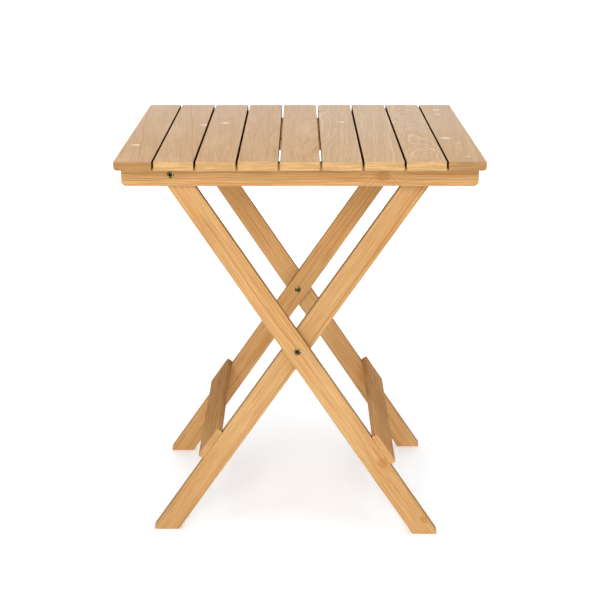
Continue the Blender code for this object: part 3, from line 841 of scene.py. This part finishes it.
def make_stretcher(kind, edge_side, pith, tone):
    node = f"{kind}_stretcher"
    low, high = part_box(node)
    half_length = (high.y - low.y) / 2
    near = edge_side * (LEG_WIDTH / 2 + FIT)
    far = near + edge_side * STRETCHER_THICKNESS
    shape = block(Vector((min(near, far), -half_length, -STRETCHER_BELOW - STRETCHER_WIDTH / 2)),
                  Vector((max(near, far), half_length, -STRETCHER_BELOW + STRETCHER_WIDTH / 2)))
    long_edges = [edge for edge in shape.edges
                  if abs(edge.verts[0].co.y - edge.verts[1].co.y) > half_length]
    round_edges(shape, long_edges, STRETCHER_EASE, LONG_EDGE_SEGMENTS)
    ease(shape, STRETCHER_END_EASE)
    thing = new_piece(node + "_wood", shape)
    grain = Grain(*pith)
    # The stretchers' darker colours are painted shade
    material = pine(node + "_pine", ring=0.0036, wave=0.8, contrast=0.85, early=STRETCHER_SHADED_EARLY,
                    late=STRETCHER_SHADED_LATE, pith=grain.values, end_share=0.15, end_colour=PALE)
    centre = Vector(((near + far) / 2, 0.0, -STRETCHER_BELOW))
    finish_board(thing, grain, ALONG_Y_UPRIGHT, centre, material, tone, leg_matrix(LEAN[kind]))
    stand_for(thing, node)


# ---- Turned and metal pieces -------------------------------------------------------------------
def finish_metal(thing, material, matrix):
    places = thing.data.attributes.new("grain", "FLOAT_VECTOR", "POINT")
    offset = Vector((draw.uniform(0, 1), draw.uniform(0, 1), draw.uniform(0, 1)))
    for item, vertex in zip(places.data, thing.data.vertices):
        item.vector = vertex.co + offset
    finish_mesh(thing.data, material, matrix)


def disc_profile(radius, half, edge):
    """A disc or rod from -half to half along its axis, with a small chamfer at both rims."""
    return [(0.0, half), (radius - edge, half), (radius, half - edge),
            (radius, -half + edge), (radius - edge, -half), (0.0, -half)]


def make_rod():
    low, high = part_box("top_rod")
    profile = disc_profile(ROD_RADIUS, (high.y - low.y) / 2, ROD_EASE)
    thing = new_piece("top_rod_wood", lathe(profile))
    grain = Grain(0.012, 0.020)
    material = pine("rod_beech", ring=0.0022, wave=0.4, contrast=0.5, early=BEECH_EARLY,
                    late=BEECH_LATE, pith=grain.values, end_share=0.5)
    finish_board(thing, grain, ALONG_Z, Vector(), material, 0.98, toward((0, 1, 0), ROD_PLACE))
    stand_for(thing, "top_rod")


def head_profile():
    """A low domed head with an eased rim, from its middle to the underside of the rim."""
    rim = arc((HEAD_RADIUS - HEAD_RIM, HEAD_HEIGHT - HEAD_RIM), HEAD_RIM, 65, 0, 5)
    return ([(0.0, HEAD_HEIGHT), (HEAD_RADIUS - HEAD_RIM_START, HEAD_HEIGHT)] + rim
            + [(HEAD_RADIUS, 0.0)])


def hex_socket():
    shape = bmesh.new()
    bmesh.ops.create_cone(shape, cap_ends=True, segments=6, radius1=HEX_FLOOR_RADIUS,
                          radius2=HEX_MOUTH_RADIUS, depth=2 * HEX_DEPTH,
                          matrix=Matrix.Translation((0.0, 0.0, HEAD_HEIGHT)))
    return shape


def paint_socket_shade(mesh):
    """Mark the inside of the hex socket for painted shade: near black, where the socket is in shade."""
    shades = mesh.attributes.new("recess", "FLOAT", "FACE")
    for face in mesh.polygons:
        reach = math.hypot(face.center.x, face.center.y)
        inside = reach < HEX_SHADE_RADIUS and HEX_SHADE_FLOOR < face.center.z < HEAD_HEIGHT - CLOSE
        shades.data[face.index].value = 1.0 if inside else 0.0


def make_bolt(node, side):
    low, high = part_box(node)
    length = (high.y - low.y) - HEAD_HEIGHT
    face_y = (high.y - HEAD_HEIGHT) if side > 0 else (low.y + HEAD_HEIGHT)
    place = (low + high) / 2
    shank = [(BOLT_RADIUS, 0.0), (BOLT_RADIUS, -length + BOLT_TIP_EASE),
             (BOLT_RADIUS - BOLT_TIP_EASE, -length), (0.0, -length)]
    thing = new_piece(node + "_steel", lathe(head_profile() + shank),
                      [(hex_socket(), Matrix.Identity(4))])
    paint_socket_shade(thing.data)
    finish_metal(thing, YELLOW_ZINC, toward((0, side, 0), (place.x, face_y, place.z)))
    stand_for(thing, node)


def make_nut(node, side):
    low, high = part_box(node)
    face_y = (low.y + HEAD_HEIGHT) if side > 0 else (high.y - HEAD_HEIGHT)
    place = (low + high) / 2
    sleeve = [(SLEEVE_RADIUS, 0.0), (SLEEVE_RADIUS, -SLEEVE_LENGTH), (0.0, -SLEEVE_LENGTH)]
    thread = hole_cutter(BOLT_RADIUS + FIT, THREAD_THROUGH)
    thing = new_piece(node + "_steel", lathe(head_profile() + sleeve),
                      [(thread, Matrix.Identity(4))])
    finish_metal(thing, YELLOW_ZINC, toward((0, -side, 0), (place.x, face_y, place.z)))
    stand_for(thing, node)


def make_washer(node):
    low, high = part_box(node)
    profile = disc_profile(WASHER_RADIUS, (high.y - low.y) / 2, WASHER_EASE)
    hole = hole_cutter(BOLT_RADIUS + 2 * FIT, WASHER_THROUGH)
    thing = new_piece(node + "_steel", lathe(profile), [(hole, Matrix.Identity(4))])
    finish_metal(thing, YELLOW_ZINC, toward((0, 1, 0), (low + high) / 2))
    stand_for(thing, node)


def cross_slot(angle, height):
    """One tapered arm of the cross that a screwdriver fits, and where it is cut."""
    arm = bmesh.new()
    for vertex in bmesh.ops.create_cube(arm, size=1.0)["verts"]:
        taper = 1.0 if vertex.co.z > 0 else CROSS_TAPER
        vertex.co.x *= CROSS_SLOT[0] * taper
        vertex.co.y *= CROSS_SLOT[1]
        vertex.co.z *= CROSS_SLOT[2]
    return arm, Matrix.Translation((0.0, 0.0, height)) @ Matrix.Rotation(angle, 4, "Z")


def screw_mesh(name, head, head_top, length):
    """A cross-headed screw, head up, with its thread as rings."""
    profile = [(0.0, head_top)] + head
    turns = int((length - 2 * THREAD_START) / THREAD_PITCH)
    for turn in range(turns):
        height = -THREAD_START - turn * THREAD_PITCH
        profile += [(SCREW_RADIUS * THREAD_ROOT, height),
                    (SCREW_RADIUS, height - THREAD_RISE * THREAD_PITCH)]
    profile += [(SCREW_RADIUS * THREAD_TIP, -THREAD_START - turns * THREAD_PITCH), (0.0, -length)]
    thing = new_piece(name, lathe(profile, SCREW_SIDES),
                      [cross_slot(angle, head_top) for angle in (0.0, math.pi / 2)])
    mesh = thing.data
    bpy.data.objects.remove(thing, do_unlink=True)
    mesh.name = name
    return mesh


def drive_screw(name, pattern, place):
    """Put a copy of a screw in from below, turned at random."""
    thing = new_object(name, pattern.copy())
    turn = Matrix.Rotation(draw.uniform(0, math.pi), 4, "Z")
    finish_metal(thing, BRIGHT_ZINC, toward((0, 0, -1), place) @ turn)
    return thing


def make_slat_screws():
    """Pan-headed screws deep in the aprons' counterbores, heads down."""
    low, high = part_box("slat_screw_front_1")
    length = high.z - low.z - PAN_HEIGHT
    head = [(PAN_CROWN_RADIUS, PAN_HEIGHT)]
    head += arc((SCREW_HEAD_RADIUS - PAN_ROUNDING, PAN_ROUNDING_HEIGHT), PAN_ROUNDING, 80, 0, 5)
    head += [(SCREW_HEAD_RADIUS, 0.0), (SCREW_RADIUS, 0.0)]
    pattern = screw_mesh("slat_screw_pattern", head, PAN_HEIGHT, length)
    for end in SIDE:
        for number in range(1, len(SLATS) + 1):
            node = f"slat_screw_{end}_{number}"
            low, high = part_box(node)
            place = (low + high) / 2
            thing = drive_screw(node + "_steel", pattern, (place.x, place.y, low.z + PAN_HEIGHT))
            stand_for(thing, node)


def make_batten_screws():
    """Countersunk screws from below: one into each slat above the batten, two in the stop block."""
    head = [(SCREW_HEAD_RADIUS, 0.0), (SCREW_HEAD_RADIUS, -SUNK_HEAD_RIM),
            (SCREW_RADIUS, -SUNK_HEAD_DEPTH)]
    pattern = screw_mesh("batten_screw_pattern", head, 0.0, BATTEN_SCREW_LENGTH)
    low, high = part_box("middle_batten")
    stop_low, stop_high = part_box("stop_block")
    places = []
    for number in range(1, len(SLATS) + 1):
        slat_low, slat_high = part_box(f"slat_{number}")
        left, right = max(slat_low.x, low.x), min(slat_high.x, high.x)
        middle = (left + right) / 2
        under_stop = stop_low.x - STOP_MARGIN < middle < stop_high.x + STOP_MARGIN
        if right - left > BATTEN_SCREW_SPACE and not under_stop:
            places.append((middle, 0.0, low.z))
    stop_middle = (stop_low.x + stop_high.x) / 2
    places += [(stop_middle, STOP_SCREW_OFFSET, stop_low.z),
               (stop_middle, -STOP_SCREW_OFFSET, stop_low.z)]
    for number, place in enumerate(places, start=1):
        thing = drive_screw(f"batten_screw_{number}", pattern,
                            Vector(place) + Vector((0, 0, -BATTEN_SCREW_PROUD)))
        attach(thing, "table_top")


def finish_cad_dowels():
    """The dowels stay as the CAD nodes they are, with a finish of their own."""
    beech = pine("dowel_beech_finish", ring=0.002, wave=0.4, contrast=0.5, early=BEECH_EARLY,
                 late=BEECH_LATE, carried=True)
    for name, node in frame["nodes"].items():
        if "dowel" in name:
            node.data.materials.clear()
            node.data.materials.append(beech)


# ---- The table ---------------------------------------------------------------------------------
# How each leg was cut: frame, end, pith and slopes, tone, ring width, waviness, contrast, knots
# The rear legs' higher tones are painted light, which lifts the legs that stand in the top's shade
LEGS = [
    ("outer", "front", (-0.046, 0.030, 0.004, 0.0), 0.93, 0.0034, 0.8, 0.85,
     [(-0.262, 0.010, 0.0110, 0.90), (-0.397, 0.013, 0.0085, 0.75)]),
    ("outer", "rear", (0.060, 0.030, 0.010, 0.0), 1.02, 0.0030, 0.6, 1.30, []),
    ("inner", "front", (-0.070, 0.030, 0.008, 0.0), 0.89, 0.0030, 0.6, 0.7, []),
    ("inner", "rear", (0.055, -0.035, 0.0, 0.008), 1.00, 0.0030, 0.7, 1.25, []),
]


def make_table():
    for index in range(len(SLATS)):
        make_slat(index)
    make_apron("front", [(0.141, -0.003, 0.0125, 0.80)], (0.052, 0.034, 0.010, 0.0), 0.855)
    make_apron("rear", [(-0.11, 0.004, 0.008, 0.7)], (-0.050, -0.038, -0.01, 0.0), 0.86)
    make_under_board("middle_batten", BOARD_EASE, (0.030, -0.040, 0.01, 0.01), 0.0034, 0.7, 0.97)
    make_under_board("stop_block", STOP_EASE, (0.020, -0.030), 0.0028, 0.5, 0.93)
    for leg in LEGS:
        make_leg(*leg)
    make_stretcher("outer", 1, (0.025, -0.040, 0.01, 0.01), 1.00)
    make_stretcher("inner", -1, (-0.020, -0.050, 0.01, 0.01), 0.88)
    make_rod()
    for end, side in SIDE.items():
        for kind in ("hinge", "cross"):
            make_bolt(f"{kind}_bolt_{end}", side)
            make_nut(f"{kind}_nut_{end}", side)
            make_washer(f"{kind}_washer_{end}")
    make_slat_screws()
    make_batten_screws()
    finish_cad_dowels()


# ---- Floor, light and camera -------------------------------------------------------------------
SWEEP_SIDE = 9.0
SWEEP_FRONT = -9.0
SWEEP_NEAR = 0.7                  # up to here the floor glows a little, and behind it fully
SWEEP_BACK = 3.2
SWEEP_RADIUS = 1.5
SWEEP_TOP = 5.0
SWEEP_WHITE_RANGE = (0.885, 0.915)
SWEEP_ROUGHNESS = 0.75
SKY_STRENGTH = 0.42
FLOOR_GLOW = 0.20
FLOOR_TINT = (0.965, 1.0, 1.03)   # evens out the warm light that the wood throws on it
WALL_GLOW = 1.0
# Each soft light: name, place, what it points at, size in metres, and watts
SOFTBOXES = [
    ("front_softbox", (-0.3, -3.6, 1.5), (0.0, 0.0, 0.4), (2.4, 1.4), 112.0),
    ("overhead_softbox", (0.0, -0.4, 3.2), (0.0, 0.0, 0.7), (2.6, 2.6), 44.0),
]
CAMERA_BACK = 2.674
CAMERA_HEIGHT = 1.1565
CAMERA_PITCH = 0.2817
CAMERA_LENS = 87.3
CAMERA_SENSOR = 36.0
CAMERA_FAR = 200.0


def make_sweep():
    """One white sheet: floor under the table, curving up behind it."""
    outline = [(SWEEP_FRONT, 0.0), (SWEEP_NEAR, 0.0), (SWEEP_BACK, 0.0)]
    outline += arc((SWEEP_BACK, SWEEP_RADIUS), SWEEP_RADIUS, -90, 0, 24)
    outline.append((SWEEP_BACK + SWEEP_RADIUS, SWEEP_TOP))
    verts = [(side, y, z) for y, z in outline for side in (-SWEEP_SIDE, SWEEP_SIDE)]
    faces = [(2 * i, 2 * i + 1, 2 * i + 3, 2 * i + 2) for i in range(len(outline) - 1)]
    mesh = bpy.data.meshes.new("sweep")
    mesh.from_pydata(verts, [], faces)
    mesh.shade_smooth()
    glow = mesh.attributes.new("glow", "FLOAT", "POINT")
    for item, (_, y, _) in zip(glow.data, verts):
        item.value = FLOOR_GLOW if y < SWEEP_NEAR + CLOSE else WALL_GLOW
    sweep = new_object("sweep", mesh)
    shader = Shader("white_sweep")
    speck = shader.noise(shader.attribute("position"), (40.0, 40.0, 40.0), 2.0, 0.5)
    level = shader.range(speck, 0.0, 1.0, *SWEEP_WHITE_RANGE)
    white = shader.join(level, level, level)
    shader.set("Base Color", shader.vector("MULTIPLY", white, FLOOR_TINT))
    shader.surface.inputs["Roughness"].default_value = SWEEP_ROUGHNESS
    shader.surface.inputs["Emission Color"].default_value = (1.0, 1.0, 1.0, 1.0)
    shader.set("Emission Strength", shader.attribute("glow", "Fac"))
    mesh.materials.append(shader.material)


def make_light(name, place, aim, size, power):
    lamp = bpy.data.lights.new(name, "AREA")
    lamp.shape = "RECTANGLE"
    lamp.size, lamp.size_y = size
    lamp.energy = power
    thing = new_object(name, lamp)
    thing.location = place
    thing.rotation_euler = (Vector(place) - Vector(aim)).to_track_quat("Z", "Y").to_euler()


def make_lights():
    world = bpy.data.worlds.new("studio")
    bpy.context.scene.world = world
    world.use_nodes = True
    background = world.node_tree.nodes["Background"]
    background.inputs["Color"].default_value = (1.0, 1.0, 1.0, 1.0)
    background.inputs["Strength"].default_value = SKY_STRENGTH
    for softbox in SOFTBOXES:
        make_light(*softbox)


def make_camera():
    camera = bpy.data.cameras.new("camera")
    camera.lens = CAMERA_LENS
    camera.sensor_width = CAMERA_SENSOR
    camera.clip_end = CAMERA_FAR
    thing = new_object("camera", camera)
    thing.location = (0.0, -CAMERA_BACK, CAMERA_HEIGHT)
    thing.rotation_euler = (math.pi / 2 - CAMERA_PITCH, 0.0, 0.0)
    bpy.context.scene.camera = thing


make_table()
make_sweep()
make_lights()
make_camera()
bpy.context.scene.view_settings.view_transform = "Standard"
